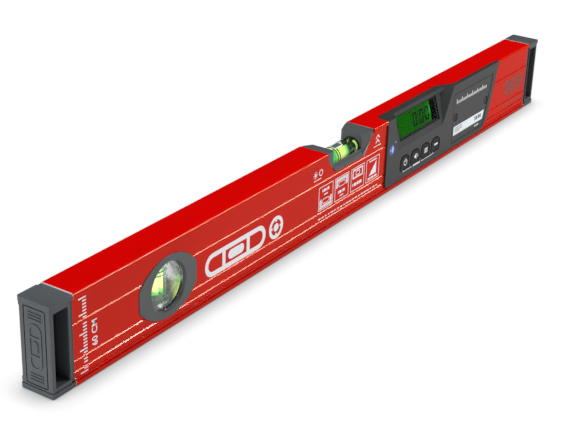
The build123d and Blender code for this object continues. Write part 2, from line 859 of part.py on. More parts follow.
def make_battery_springs():
    """Short conical coils behind each cell's negative end."""
    springs = []
    for end, z in zip((-1, 1), cell_heights):
        gap = 1.35
        coil = Helix(pitch=0.5, height=0.8, radius=2.6)
        profile = Plane(origin=coil @ 0, z_dir=coil % 0) * Circle(0.16)
        wire = sweep(profile, path=coil, is_frenet=True)
        foot = cell_x + end * (cell_length / 2 - 0.5 + gap)
        turn = Rot(0, -90 * end, 0)
        springs.append(Pos(foot - end * 0.05, cell_y, z) * turn * wire)
    return group(springs)


# ---- write one file per node ----
def build_nodes():
    nodes = {"profile": make_profile()}
    for side, name in ((-1, "left"), (1, "right")):
        nodes[name + "_end_cap"] = make_cap(side)
        nodes[name + "_cap_stoppers"] = make_stoppers(side)
    for side, name in ((-1, "front"), (1, "back")):
        nodes["plumb_" + name + "_plate"] = make_plumb_plate(side)
        nodes["plumb_" + name + "_lens"] = make_plumb_lens(side)
    nodes["plumb_vial_body"] = make_plumb_body()
    nodes["plumb_vial_tube"] = place_plumb(vial_tube(plumb_vial_length))
    nodes["plumb_vial_rings"] = place_plumb(vial_rings())
    nodes["plumb_vial_plugs"] = place_plumb(vial_plugs(plumb_vial_length))
    nodes["plumb_vial_fluid"] = place_plumb(vial_fluid(plumb_vial_length))
    nodes["plumb_vial_bubble"] = place_plumb(Pos(bubble_reach(plumb_vial_length), 0, 0) * vial_bubble())
    nodes["top_vial_saddle"] = make_saddle()
    nodes["top_vial_tube"] = place_top(vial_tube(top_vial_length))
    nodes["top_vial_rings"] = place_top(vial_rings())
    nodes["top_vial_plugs"] = place_top(vial_plugs(top_vial_length))
    nodes["top_vial_fluid"] = place_top(vial_fluid(top_vial_length))
    nodes["top_vial_bubble"] = place_top(vial_bubble())
    nodes["module_housing"] = make_housing()
    nodes["module_rear_cover"] = make_rear_cover()
    nodes["rear_cover_screws"] = make_rear_screws()
    nodes["display_window"] = display_slab(window_width, window_height, 0, window_thickness)
    nodes["lcd_panel"] = display_slab(window_width - 2, window_height - 1.6, well_back_wall, lcd_thickness)
    nodes["lcd_backlight"] = display_slab(
        window_width - 2, window_height - 1.6, well_back_wall + lcd_thickness, backlight_thickness
    )
    nodes["display_frame"] = make_display_frame()
    nodes["circuit_board"] = make_circuit_board()
    nodes["board_screws"] = make_board_screws()
    nodes["key_board"] = make_key_board()
    nodes["board_header"] = make_board_header()
    nodes["tact_switches"] = make_switches()
    for index, name in enumerate(button_names):
        nodes[name + "_button"] = make_button(index)
        nodes[name + "_switch_plunger"] = make_plunger(index)
    nodes["processor"] = board_chip(50, 32, 10, 10, 1.2)
    nodes["tilt_sensor"] = board_chip(68, 32, 5, 5, 1.4)
    nodes["radio_module"] = board_chip(28, 34, 12, 10, 1.6)
    nodes["buzzer"] = make_buzzer()
    nodes["battery_cover"] = make_battery_cover()
    nodes["rating_label"] = label_slab()
    nodes["cover_gasket"] = make_gasket()
    nodes["cover_screws"] = make_cover_screws()
    nodes["battery_cells"] = make_cells()
    nodes["battery_plates"] = make_battery_plates()
    nodes["battery_springs"] = make_battery_springs()
    return nodes


os.makedirs("parts", exist_ok=True)
for node_name, shape in build_nodes().items():
    export_step(shape, "parts/" + node_name + ".step")
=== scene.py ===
import math

import bmesh
import bpy
from mathutils import Matrix, Vector


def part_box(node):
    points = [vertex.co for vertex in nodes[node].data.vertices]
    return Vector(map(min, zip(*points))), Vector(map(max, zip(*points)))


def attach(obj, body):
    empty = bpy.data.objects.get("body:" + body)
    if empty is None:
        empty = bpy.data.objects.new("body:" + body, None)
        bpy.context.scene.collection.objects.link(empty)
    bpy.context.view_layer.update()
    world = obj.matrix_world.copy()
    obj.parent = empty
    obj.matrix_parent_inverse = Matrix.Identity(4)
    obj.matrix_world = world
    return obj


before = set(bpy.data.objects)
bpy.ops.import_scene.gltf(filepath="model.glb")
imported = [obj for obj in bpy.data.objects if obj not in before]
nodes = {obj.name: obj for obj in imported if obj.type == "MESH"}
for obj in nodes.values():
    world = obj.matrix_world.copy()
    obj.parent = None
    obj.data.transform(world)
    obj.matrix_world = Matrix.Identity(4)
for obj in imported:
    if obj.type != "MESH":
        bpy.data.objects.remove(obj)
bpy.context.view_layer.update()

MM = 0.001

# ---- places on the level, in millimetres ----
web_y = -11.5
bezel_y = -12.8
cover_y = -12.7
key_y = -12.6
key_x = {"power": 80.5, "sound": 97.2, "unit": 113.9, "hold": 130.6}
key_z = 16.5
print_thickness = 0.03
groove_heights = (9.1, 16.3, 40.2)
cap_face_x = 318.5
cap_relief = 0.42
plumb_z = 29.0
level_x, level_z = -2.0, 47.4

# where the profile's coat ends and bare metal begins
coated_depth = 11.45
foot_skin, head_skin = 0.1, 59.9
wall_inside = 9.8
wall_foot, wall_head = 2.7, 57.3
sawn_end = 299.1

# display well, its lamp and the end of its lit part
well_foot, well_height, well_depth = 31.0, 29.0, 8.8
display_lamp = (129.0, -7.0, 46.5)
lamp_reach = 11.0
lit_edge = 128.4

# cells, cap relief and battery cover
cell_start, cell_end = 168.0, 213.5
cap_middle = 30.0
rib_length = 10.0
cover_lean = 0.310
# width of the painted shade line in the battery cover's gap
seam_shade_width = 0.55


# ---- camera ----
def aim_camera():
    """Camera at the left front, above the level, with a slight roll."""
    azimuth, elevation, roll = (math.radians(a) for a in (-56.39, 24.44, 1.80))
    back = Vector((
        math.sin(azimuth) * math.cos(elevation),
        -math.cos(azimuth) * math.cos(elevation),
        math.sin(elevation),
    ))
    right = Vector((math.cos(azimuth), math.sin(azimuth), 0.0))
    up = back.cross(right)
    right, up = (
        math.cos(roll) * right + math.sin(roll) * up,
        math.cos(roll) * up - math.sin(roll) * right,
    )
    data = bpy.data.cameras.new("camera")
    data.lens = 87.2
    data.sensor_width = 36.0
    data.clip_start, data.clip_end = 0.05, 20.0
    camera = bpy.data.objects.new("camera", data)
    turn = Matrix((right, up, back)).transposed().to_4x4()
    camera.matrix_world = Matrix.Translation((-0.795, -0.479, 0.419)) @ turn
    bpy.context.scene.collection.objects.link(camera)
    bpy.context.scene.camera = camera


aim_camera()
bpy.context.scene.view_settings.view_transform = "Standard"


# ---- small helpers ----
def linear(code, alpha=1.0):
    """Linear colour from an sRGB hex value."""
    parts = [int(code[i:i + 2], 16) / 255 for i in (1, 3, 5)]
    return [p / 12.92 if p <= 0.04045 else ((p + 0.055) / 1.055) ** 2.4 for p in parts] + [alpha]


def add(tree, kind, inputs=None, stops=(), **settings):
    """Adds a node with its settings and links. An input given a node takes its first output, one given a
    socket takes that, and any other value is set; stops are a ramp's (place, hex) pairs."""
    made = tree.nodes.new(kind)
    for name, value in settings.items():
        setattr(made, name, value)
    for name, value in (inputs or {}).items():
        source = value.outputs[0] if isinstance(value, bpy.types.Node) else value
        if isinstance(source, bpy.types.NodeSocket):
            tree.links.new(source, made.inputs[name])
        else:
            made.inputs[name].default_value = source
    for index, (place, code) in enumerate(stops):
        present = made.color_ramp.elements
        mark = present[index] if index < len(present) else present.new(place)
        mark.position = place
        mark.color = linear(code)
    return made


def begin(name):
    """A new material: itself, its empty tree, and Object coordinates in it."""
    material = bpy.data.materials.new(name)
    material.use_nodes = True
    tree = material.node_tree
    tree.nodes.clear()
    return material, tree, add(tree, "ShaderNodeTexCoord").outputs["Object"]


# ---- materials ----
def powder_coated_profile():
    """Powder-coated aluminium extrusion, bare where it was sawn and milled.

    The coat is a deep satin red under a thin gloss, with a faint orange peel and the die's lines along its
    length; the sawn rim, the notch walls and the inside of the box show bright milled metal. The coat is most
    likely one red all over; the slightly more orange red on the sides, chosen by the direction of the face,
    is a painted warm reflection. Die lines and mill marks are drawn coarser than real so that they show."""
    material, tree, where = begin("powder_coated_aluminium")
    peel = add(tree, "ShaderNodeTexNoise", {"Vector": where, "Scale": 1 / (1.4 * MM)})
    drawn = add(tree, "ShaderNodeMapping", {"Vector": where, "Scale": (0.01, 1.0, 1.0)})
    die_lines = add(tree, "ShaderNodeTexNoise", {"Vector": drawn, "Scale": 1 / (0.9 * MM), "Detail": 3.0})
    tone = add(tree, "ShaderNodeTexNoise", {"Vector": where, "Scale": 1 / (60 * MM)})
    top_red = add(tree, "ShaderNodeValToRGB", {"Fac": tone}, ((0.3, "#C60201"), (0.7, "#CC0301")))
    # painted reflection: the sides' more orange red stands in for a warm reflection on one red coat
    side_red_painted_reflection = add(tree, "ShaderNodeValToRGB", {"Fac": tone}, ((0.3, "#C61E0A"), (0.7, "#CE200B")))
    metre = add(tree, "ShaderNodeSeparateXYZ", {"Vector": where})
    face = add(tree, "ShaderNodeNewGeometry").outputs["True Normal"]
    to_side = add(tree, "ShaderNodeMath", {
        0: add(tree, "ShaderNodeSeparateXYZ", {"Vector": face}).outputs["Y"],
    }, operation="ABSOLUTE")
    is_side = add(tree, "ShaderNodeMath", {0: to_side, 1: 0.2}, operation="GREATER_THAN")
    red = add(tree, "ShaderNodeMix", {
        0: is_side, 6: top_red.outputs[0], 7: side_red_painted_reflection.outputs[0],
    }, data_type="RGBA")
    end = add(tree, "ShaderNodeMath", {0: metre.outputs["X"]}, operation="ABSOLUTE")
    depth = add(tree, "ShaderNodeMath", {0: metre.outputs["Y"]}, operation="ABSOLUTE")
    height = metre.outputs["Z"]
    level_faces = add(tree, "ShaderNodeMath", {0: 1.0, 1: is_side}, operation="SUBTRACT")
    in_front = add(tree, "ShaderNodeMath", {0: depth, 1: coated_depth * MM}, operation="LESS_THAN")
    above = add(tree, "ShaderNodeMath", {0: height, 1: foot_skin * MM}, operation="GREATER_THAN")
    below = add(tree, "ShaderNodeMath", {0: height, 1: head_skin * MM}, operation="LESS_THAN")
    milled = add(tree, "ShaderNodeMath", {0: level_faces, 1: in_front}, operation="MULTIPLY")
    milled = add(tree, "ShaderNodeMath", {0: milled, 1: above}, operation="MULTIPLY")
    milled = add(tree, "ShaderNodeMath", {0: milled, 1: below}, operation="MULTIPLY")
    deep = add(tree, "ShaderNodeMath", {0: depth, 1: wall_inside * MM}, operation="LESS_THAN")
    over_floor = add(tree, "ShaderNodeMath", {0: height, 1: wall_foot * MM}, operation="GREATER_THAN")
    under_roof = add(tree, "ShaderNodeMath", {0: height, 1: wall_head * MM}, operation="LESS_THAN")
    inside = add(tree, "ShaderNodeMath", {0: deep, 1: over_floor}, operation="MULTIPLY")
    inside = add(tree, "ShaderNodeMath", {0: inside, 1: under_roof}, operation="MULTIPLY")
    sawn = add(tree, "ShaderNodeMath", {0: end, 1: sawn_end * MM}, operation="GREATER_THAN")
    sawn = add(tree, "ShaderNodeMath", {0: sawn, 1: level_faces}, operation="MULTIPLY")
    bare = add(tree, "ShaderNodeMath", {0: milled, 1: inside}, operation="MAXIMUM")
    bare = add(tree, "ShaderNodeMath", {0: bare, 1: sawn}, operation="MAXIMUM")
    tooled = add(tree, "ShaderNodeMapping", {"Vector": where, "Scale": (1.0, 0.05, 1.0)})
    mill_marks = add(tree, "ShaderNodeTexNoise", {"Vector": tooled, "Scale": 1 / (0.5 * MM)})
    metal = add(tree, "ShaderNodeValToRGB", {"Fac": mill_marks}, ((0.2, "#DCDDDE"), (0.8, "#F4F4F5")))
    colour = add(tree, "ShaderNodeMix", {0: bare, 6: red.outputs[2], 7: metal.outputs[0]}, data_type="RGBA")
    satin = add(tree, "ShaderNodeMapRange", {"Value": die_lines, "To Min": 0.3, "To Max": 0.42})
    ripple = add(tree, "ShaderNodeMath", {0: die_lines, 1: 0.7, 2: peel}, operation="MULTIPLY_ADD")
    shader = add(tree, "ShaderNodeBsdfPrincipled", {
        "Base Color": colour.outputs[2], "Roughness": satin,
        "Metallic": add(tree, "ShaderNodeMath", {0: bare, 1: 0.55}, operation="MULTIPLY"),
        "Specular IOR Level": 0.0, "Coat Weight": 0.2, "Coat Roughness": 0.08,
        "Normal": add(tree, "ShaderNodeBump", {"Height": ripple, "Distance": 0.012 * MM}),
    })
    add(tree, "ShaderNodeOutputMaterial", {"Surface": shader})
    return material


def moulded_plastic(name, dark, light, grain_mm, rough, depth_mm=0.03, specular=0.5, painted_shade_mm=0.0):
    """Injection-moulded plastic with a spark-eroded grain: a matte face broken into fine lighter points,
    slightly cloudier over wide areas, and, where a reach is given, painted shade near black in its recesses.
    The real grain is 0.1 to 0.3 mm across; it is drawn coarser here so that it shows."""
    material, tree, where = begin(name)
    fine = add(tree, "ShaderNodeTexNoise", {"Vector": where, "Scale": 1 / (grain_mm * MM)})
    wide = add(tree, "ShaderNodeTexNoise", {"Vector": where, "Scale": 1 / (35 * MM)})
    tone = add(tree, "ShaderNodeMix", {0: 0.45, 2: fine.outputs[0], 3: wide.outputs[0]})
    colour = add(tree, "ShaderNodeValToRGB", {"Fac": tone}, ((0.32, dark), (0.68, light))).outputs[0]
    # painted shade: ambient occlusion darkens recesses towards near black #060606
    if painted_shade_mm:
        ao_openness = add(tree, "ShaderNodeAmbientOcclusion", {
            "Distance": painted_shade_mm * MM,
        }, samples=8).outputs["AO"]
        painted_recess_shade = add(tree, "ShaderNodeMapRange", {
            "Value": ao_openness, "From Min": 0.35, "From Max": 0.85, "To Min": 1.0, "To Max": 0.0,
        })
        colour = add(tree, "ShaderNodeMix", {
            0: painted_recess_shade, 6: colour, 7: linear("#060606"),
        }, data_type="RGBA").outputs[2]
    shader = add(tree, "ShaderNodeBsdfPrincipled", {
        "Base Color": colour, "Specular IOR Level": specular,
        "Roughness": add(tree, "ShaderNodeMapRange", {
            "Value": wide, "To Min": rough - 0.06, "To Max": rough + 0.06,
        }),
        "Normal": add(tree, "ShaderNodeBump", {"Height": fine, "Distance": depth_mm * MM}),
    })
    add(tree, "ShaderNodeOutputMaterial", {"Surface": shader})
    return material


def clear_moulding(name, tint, rough, least, most):
    """Clear acrylic or polycarbonate: mostly see-through, with a sharp reflection that grows towards the
    edges and a few faint flow lines."""
    material, tree, where = begin(name)
    along = add(tree, "ShaderNodeMapping", {"Vector": where, "Scale": (1.0, 1.0, 0.3)})
    flow = add(tree, "ShaderNodeTexNoise", {"Vector": along, "Scale": 1 / (6 * MM), "Detail": 1.0})
    open_part = add(tree, "ShaderNodeBsdfTransparent", {"Color": linear(tint)})
    gloss = add(tree, "ShaderNodeBsdfPrincipled", {
        "Base Color": add(tree, "ShaderNodeValToRGB", {"Fac": flow}, ((0.3, tint), (0.7, "#F4F8F6"))),
        "Metallic": 1.0, "Roughness": rough,
        "Normal": add(tree, "ShaderNodeBump", {"Height": flow, "Distance": 0.01 * MM}),
    })
    edge = add(tree, "ShaderNodeLayerWeight", {"Blend": 0.5}).outputs["Facing"]
    near_edge = add(tree, "ShaderNodeMath", {0: edge, 1: 4.0}, operation="POWER")
    share = add(tree, "ShaderNodeMapRange", {"Value": near_edge, "To Min": least, "To Max": most})
    mixed = add(tree, "ShaderNodeMixShader", {0: share, 1: open_part, 2: gloss})
    add(tree, "ShaderNodeOutputMaterial", {"Surface": mixed})
    return material


def vial_spirit(name, axis, centre_mm, half_mm, stops, painted_glow):
    """Fluorescent spirit in the vial's bore, with a painted glow: its middle glows pale yellow-green by
    emission, and the stops paint light and shade along the vial, falling off to darker green."""
    material, tree, where = begin(name)
    place = add(tree, "ShaderNodeSeparateXYZ", {"Vector": where}).outputs[axis]
    along = add(tree, "ShaderNodeMapRange", {
        "Value": place, "From Min": (centre_mm - half_mm) * MM, "From Max": (centre_mm + half_mm) * MM,
    })
    swirl = add(tree, "ShaderNodeTexNoise", {"Vector": where, "Scale": 1 / (5 * MM)})
    shift = add(tree, "ShaderNodeMapRange", {"Value": swirl, "To Min": -0.08, "To Max": 0.08})
    bent = add(tree, "ShaderNodeMath", {0: along, 1: shift}, operation="ADD")
    colour = add(tree, "ShaderNodeValToRGB", {"Fac": bent}, stops)
    # the emission is a painted glow: the spirit is no lamp
    shader = add(tree, "ShaderNodeBsdfPrincipled", {
        "Base Color": colour, "Emission Color": colour, "Emission Strength": painted_glow, "Roughness": 0.12,
        "IOR": 1.36, "Coat Weight": 0.4, "Coat Roughness": 0.04,
    })
    add(tree, "ShaderNodeOutputMaterial", {"Surface": shader})
    return material


def air_bubble():
    """Air in spirit: a bright, nearly clear-looking bead with a painted glow, and a painted darker rim that
    stands in for the light it bends away.
    """
    material, tree, where = begin("air_bubble")
    rim = add(tree, "ShaderNodeLayerWeight", {"Blend": 0.35}).outputs["Facing"]
    cloud = add(tree, "ShaderNodeTexNoise", {"Vector": where, "Scale": 1 / (2 * MM)})
    shift = add(tree, "ShaderNodeMapRange", {"Value": cloud, "To Min": -0.05, "To Max": 0.05})
    tone = add(tree, "ShaderNodeMath", {0: rim, 1: shift}, operation="ADD")
    # painted shade darkens the rim by facing; the emission below is a painted glow
    colour = add(tree, "ShaderNodeValToRGB", {"Fac": tone}, (
        (0.1, "#F6FBC8"), (0.6, "#C9EE63"), (0.95, "#2E7A1C"),
    ))
    shader = add(tree, "ShaderNodeBsdfPrincipled", {
        "Base Color": colour, "Emission Color": colour, "Emission Strength": 0.45, "Roughness": 0.06,
    })
    add(tree, "ShaderNodeOutputMaterial", {"Surface": shader})
    return material


def bright_metal(name, dark, light, rough):
    """Plated steel, or plastic with a vacuum-laid silver skin: bright metal with small dull patches and fine
    tool lines, drawn coarser than real so that they show."""
    material, tree, where = begin(name)
    round_head = add(tree, "ShaderNodeMapping", {"Vector": where, "Scale": (1.0, 0.2, 1.0)})
    turned = add(tree, "ShaderNodeTexNoise", {"Vector": round_head, "Scale": 1 / (0.35 * MM)})
    patch = add(tree, "ShaderNodeTexNoise", {"Vector": where, "Scale": 1 / (4 * MM)})
    shader = add(tree, "ShaderNodeBsdfPrincipled", {
        "Base Color": add(tree, "ShaderNodeValToRGB", {"Fac": patch}, ((0.3, dark), (0.7, light))),
        "Metallic": 1.0,
        "Roughness": add(tree, "ShaderNodeMapRange", {
            "Value": patch, "To Min": rough - 0.08, "To Max": rough + 0.1,
        }),
        "Normal": add(tree, "ShaderNodeBump", {"Height": turned, "Distance": 0.02 * MM}),
    })
    add(tree, "ShaderNodeOutputMaterial", {"Surface": shader})
    return material


def soft_rubber(name, dark, light):
    """Moulded rubber: a dry matte face with a soft sheen, slightly lighter in dusty patches. Its grain is
    drawn coarser than real so that it shows."""
    material, tree, where = begin(name)
    fine = add(tree, "ShaderNodeTexNoise", {"Vector": where, "Scale": 1 / (0.4 * MM)})
    dust = add(tree, "ShaderNodeTexNoise", {"Vector": where, "Scale": 1 / (7 * MM)})
    shader = add(tree, "ShaderNodeBsdfPrincipled", {
        "Base Color": add(tree, "ShaderNodeValToRGB", {"Fac": dust}, ((0.3, dark), (0.75, light))),
        "Roughness": add(tree, "ShaderNodeMapRange", {"Value": fine, "To Min": 0.6, "To Max": 0.8}),
        "Sheen Weight": 0.04, "Sheen Roughness": 0.5, "Specular IOR Level": 0.25,
        "Normal": add(tree, "ShaderNodeBump", {"Height": fine, "Distance": 0.04 * MM}),
    })
    add(tree, "ShaderNodeOutputMaterial", {"Surface": shader})
    return material


def screen_print(name, ink, worn):
    """Screen-printed ink: flat and even, a little thinner in pinholes where the coat shows through. They are
    drawn coarser than real so that they show."""
    material, tree, where = begin(name)
    pinholes = add(tree, "ShaderNodeTexNoise", {"Vector": where, "Scale": 1 / (0.7 * MM), "Detail": 3.0})
    shader = add(tree, "ShaderNodeBsdfPrincipled", {
        "Base Color": add(tree, "ShaderNodeValToRGB", {"Fac": pinholes}, ((0.22, worn), (0.34, ink))),
        "Roughness": add(tree, "ShaderNodeMapRange", {"Value": pinholes, "To Min": 0.5, "To Max": 0.62}),
        "Specular IOR Level": 0.2,
        "Normal": add(tree, "ShaderNodeBump", {"Height": pinholes, "Distance": 0.006 * MM}),
    })
    add(tree, "ShaderNodeOutputMaterial", {"Surface": shader})
    return material


def lit_display():
    """Backlit glass display: even leaf green, brighter by the lamp at its right end and unlit beyond it, with
    faint upright electrode lines about 0.8 mm apart, drawn coarser than real so that they show."""
    material, tree, where = begin("backlit_display_glass")
    lamp_place = add(tree, "ShaderNodeVectorMath", {
        0: where, 1: [place * MM for place in display_lamp],
    }, operation="DISTANCE")
    near_lamp = add(tree, "ShaderNodeMapRange", {
        "Value": lamp_place.outputs["Value"], "From Min": 0.0, "From Max": lamp_reach * MM,
    })
    lines = add(tree, "ShaderNodeTexWave", {"Vector": where, "Scale": 1 / (2.5 * MM)}, bands_direction="X")
    mottled = add(tree, "ShaderNodeMath", {
        0: lines.outputs["Fac"], 1: 0.02, 2: near_lamp,
    }, operation="MULTIPLY_ADD")
    across = add(tree, "ShaderNodeSeparateXYZ", {"Vector": where})
    lit_part = add(tree, "ShaderNodeMath", {0: across, 1: lit_edge * MM}, operation="LESS_THAN")
    lamp = add(tree, "ShaderNodeValToRGB", {"Fac": mottled}, (
        (0.0, "#5CFF86"), (0.22, "#26DE3C"), (0.5, "#19900E"), (1.0, "#137005"),
    ))
    shader = add(tree, "ShaderNodeBsdfPrincipled", {
        "Base Color": add(tree, "ShaderNodeMix", {
            0: lit_part, 6: linear("#030403"), 7: linear("#0B3A04"),
        }, data_type="RGBA").outputs[2],
        "Emission Color": add(tree, "ShaderNodeMix", {
            0: lit_part, 6: linear("#000000"), 7: lamp,
        }, data_type="RGBA").outputs[2],
        "Emission Strength": 0.85, "Roughness": 0.6, "Specular IOR Level": 0.0,
    })
    add(tree, "ShaderNodeOutputMaterial", {"Surface": shader})
    return material


def circuit_laminate():
    """Glass-epoxy board under green solder resist: tracks show as faint lighter lines in a glossy green,
    drawn further apart than real so that they show."""
    material, tree, where = begin("solder_resist_board")
    tracks = add(tree, "ShaderNodeTexBrick", {
        "Vector": where, "Scale": 1 / (9 * MM), "Mortar Size": 0.012,
        "Color1": linear("#0E5A2C"), "Color2": linear("#0C5228"), "Mortar": linear("#2E8A4C"),
    })
    shader = add(tree, "ShaderNodeBsdfPrincipled", {
        "Base Color": tracks, "Roughness": 0.3,
        "Normal": add(tree, "ShaderNodeBump", {"Height": tracks.outputs["Fac"], "Distance": 0.03 * MM}),
    })
    add(tree, "ShaderNodeOutputMaterial", {"Surface": shader})
    return material


def cell_wrap():
    """Shrink film on a dry cell: glossy black with a copper-coloured band at one end and bare steel at the
    other."""
    material, tree, where = begin("shrink_film")
    along = add(tree, "ShaderNodeMapRange", {
        "Value": add(tree, "ShaderNodeSeparateXYZ", {"Vector": where}),
        "From Min": cell_start * MM, "From Max": cell_end * MM,
    })
    drawn = add(tree, "ShaderNodeMapping", {"Vector": where, "Scale": (0.3, 1.0, 1.0)})
    wrinkle = add(tree, "ShaderNodeTexNoise", {"Vector": drawn, "Scale": 1 / (3 * MM)})
    shader = add(tree, "ShaderNodeBsdfPrincipled", {
        "Base Color": add(tree, "ShaderNodeValToRGB", {"Fac": along}, (
            (0.0, "#C8C6C2"), (0.04, "#17181A"), (0.68, "#1B1C1E"), (0.7, "#B4713A"),
        )),
        "Roughness": add(tree, "ShaderNodeMapRange", {"Value": wrinkle, "To Min": 0.22, "To Max": 0.34}),
        "Coat Weight": 0.3,
        "Normal": add(tree, "ShaderNodeBump", {"Height": wrinkle, "Distance": 0.05 * MM}),
    })
    add(tree, "ShaderNodeOutputMaterial", {"Surface": shader})
    return material


def matt_film():
    """Matt self-adhesive film: a cool white with a faint tooth, drawn coarser than real so that it shows."""
    material, tree, where = begin("matt_label_film")
    tooth = add(tree, "ShaderNodeTexNoise", {"Vector": where, "Scale": 1 / (0.5 * MM)})
    shader = add(tree, "ShaderNodeBsdfPrincipled", {
        "Base Color": add(tree, "ShaderNodeValToRGB", {"Fac": tooth}, ((0.3, "#DFE6EB"), (0.7, "#EFF4F7"))),
        "Roughness": add(tree, "ShaderNodeMapRange", {"Value": tooth, "To Min": 0.4, "To Max": 0.5}),
        "Normal": add(tree, "ShaderNodeBump", {"Height": tooth, "Distance": 0.01 * MM}),
    })
    add(tree, "ShaderNodeOutputMaterial", {"Surface": shader})
    return material


print_white = screen_print("white_screen_print", "#EDEDF0", "#D9C9C8")
print_stock = screen_print("stock_code_print", "#7A4A42", "#8C4238")
print_blue = screen_print("blue_screen_print", "#3F66B5", "#365AA4")
print_dark = screen_print("dark_screen_print", "#5A6066", "#737A80")
# this black ink only paints shade: the battery cover's gap and its screw wells
shade_print = screen_print("painted_shade_print", "#040505", "#090A0A")
segment_ink = screen_print("display_segment", "#020A02", "#031003")
# near black painted shade in the cap's recesses, within 3 mm
cap_plastic = moulded_plastic(
    "grained_cap_plastic", "#3E4245", "#4D5255", 0.7, 0.55, specular=0.4, painted_shade_mm=3.0,
)

finishes = {
    "red_aluminium": powder_coated_profile(),
    "cap_plastic": cap_plastic,
    "stopper_rubber": soft_rubber("stopper_rubber_blend", "#26282A", "#34373A"),
    # near black painted shade in the holder's recesses, within 2.5 mm
    "holder_plastic": moulded_plastic(
        "satin_holder_plastic", "#424546", "#525556", 0.5, 0.45, specular=0.4, painted_shade_mm=2.5,
    ),
    "reflector_plastic": bright_metal("silvered_plastic", "#A8AAAC", "#F0F1F2", 0.24),
    "clear_lens": clear_moulding("clear_polycarbonate", "#FDFDFD", 0.03, 0.03, 0.6),
    "vial_acrylic": clear_moulding("clear_acrylic", "#FBFDFB", 0.02, 0.05, 0.8),
    "ring_black": moulded_plastic("printed_ring", "#0B0B0B", "#161616", 0.4, 0.35, 0.01),
    "plug_plastic": moulded_plastic("vial_plug_plastic", "#141516", "#202224", 0.5, 0.5),
    "bubble_air": air_bubble(),
    # near black painted shade in the module's recesses and key moats, within 4 mm
    "module_plastic": moulded_plastic(
        "spark_eroded_abs", "#252626", "#333434", 0.6, 0.5, specular=0.4, painted_shade_mm=4.0,
    ),
    "screw_steel": bright_metal("zinc_plated_steel", "#9A9A9E", "#C6C6CA", 0.32),
    "dark_screw_steel": bright_metal("blackened_steel", "#1C1C1E", "#3A3A3D", 0.35),
    "smoked_window": clear_moulding("smoked_acrylic", "#DDE6DB", 0.04, 0.0, 0.1),
    "lcd_glass": lit_display(),
    "backlight_diffuser": moulded_plastic("milky_diffuser", "#5FA85A", "#7BC274", 2.0, 0.5),
    "inner_plastic": moulded_plastic("black_inner_plastic", "#0B0B0C", "#121314", 0.8, 0.6, 0.004, 0.15),
    "board_laminate": circuit_laminate(),
    "chip_resin": moulded_plastic("moulded_resin", "#111213", "#1D1E1F", 0.5, 0.6),
    "shield_tin": bright_metal("tinned_steel", "#A6A7A9", "#CBCCCE", 0.3),
    "cell_jacket": cell_wrap(),
    "contact_steel": bright_metal("nickel_plated_steel", "#B3AFA6", "#D8D4CA", 0.25),
    "label_foil": matt_film(),
    "gasket_rubber": soft_rubber("foam_gasket", "#0E0E0F", "#1B1B1D"),
    "button_plastic": soft_rubber("soft_touch_key", "#141515", "#1E1F1F"),
}
# each vial's stops are painted light and shade along it, and its last figure the strength of a painted glow
plumb_spirit = vial_spirit("plumb_spirit", "Z", plumb_z, 14.0, (
    (0.0, "#3C4A3E"), (0.2, "#4A5C4C"), (0.23, "#4FD04A"), (0.31, "#6FDC58"), (0.35, "#F7F49A"),
    (0.70, "#FAF7A8"), (0.75, "#5FD55A"), (1.0, "#2FA436"),
), 0.85)
level_spirit = vial_spirit("level_spirit", "X", level_x, 20.0, (
    (0.0, "#1FA83A"), (0.24, "#3ED06A"), (0.36, "#C4F56A"), (0.55, "#E4FA8A"), (0.68, "#3CC04A"),
    (0.76, "#0E3414"), (0.93, "#0B2A10"), (0.96, "#D6F884"),
), 0.5)
green_ring = moulded_plastic("green_printed_ring", "#2F8F35", "#46B04A", 0.4, 0.35, 0.01)


def dress_nodes():
    """Gives every carried-over node its finish, and lets lamps through the clear ones."""
    for name, piece in nodes.items():
        slots = piece.data.materials
        for index, old in enumerate(slots):
            slot = old.name.split(".")[0]
            if slot == "vial_fluid":
                slots[index] = plumb_spirit if name.startswith("plumb") else level_spirit
            elif name == "plumb_vial_rings":
                slots[index] = green_ring
            else:
                slots[index] = finishes[slot]
            if slot in ("clear_lens", "vial_acrylic", "smoked_window", "vial_fluid", "bubble_air"):
                piece.visible_shadow = False


dress_nodes()


# ---- flat shapes, in millimetres on a face ----
def bar(u0, v0, u1, v1):
    return [(u0, v0), (u1, v0), (u1, v1), (u0, v1)]


def disc(u, v, across, tall, sides=28):
    turns = [2 * math.pi * i / sides for i in range(sides)]
    return [(u + across / 2 * math.cos(t), v + tall / 2 * math.sin(t)) for t in turns]


def arc(u, v, outer, inner, first=0.0, last=360.0, sides=28):
    """Ring or part of one, as quads between two radii."""
    turns = [math.radians(first + (last - first) * i / sides) for i in range(sides + 1)]
    edge = [[(u + r * math.cos(t), v + r * math.sin(t)) for t in turns] for r in (outer, inner)]
    return [[edge[1][i], edge[0][i], edge[0][i + 1], edge[1][i + 1]] for i in range(sides)]


def rounded(u0, v0, u1, v1, radius, steps=6):
    """Outline of a rectangle with rounded corners."""
    corners = ((u1 - radius, v1 - radius, 0), (u0 + radius, v1 - radius, 90),
               (u0 + radius, v0 + radius, 180), (u1 - radius, v0 + radius, 270))
    points = []
    for u, v, first in corners:
        for i in range(steps + 1):
            turn = math.radians(first + 90 * i / steps)
            points.append((u + radius * math.cos(turn), v + radius * math.sin(turn)))
    return points


def frame_line(u0, v0, u1, v1, radius, width):
    """Rounded rectangle drawn as a line of a width, inside its outline."""
    outer = rounded(u0, v0, u1, v1, radius)
    inner = rounded(u0 + width, v0 + width, u1 - width, v1 - width, max(radius - width, 0.01))
    count = len(outer)
    return [[inner[i], outer[i], outer[(i + 1) % count], inner[(i + 1) % count]] for i in range(count)]


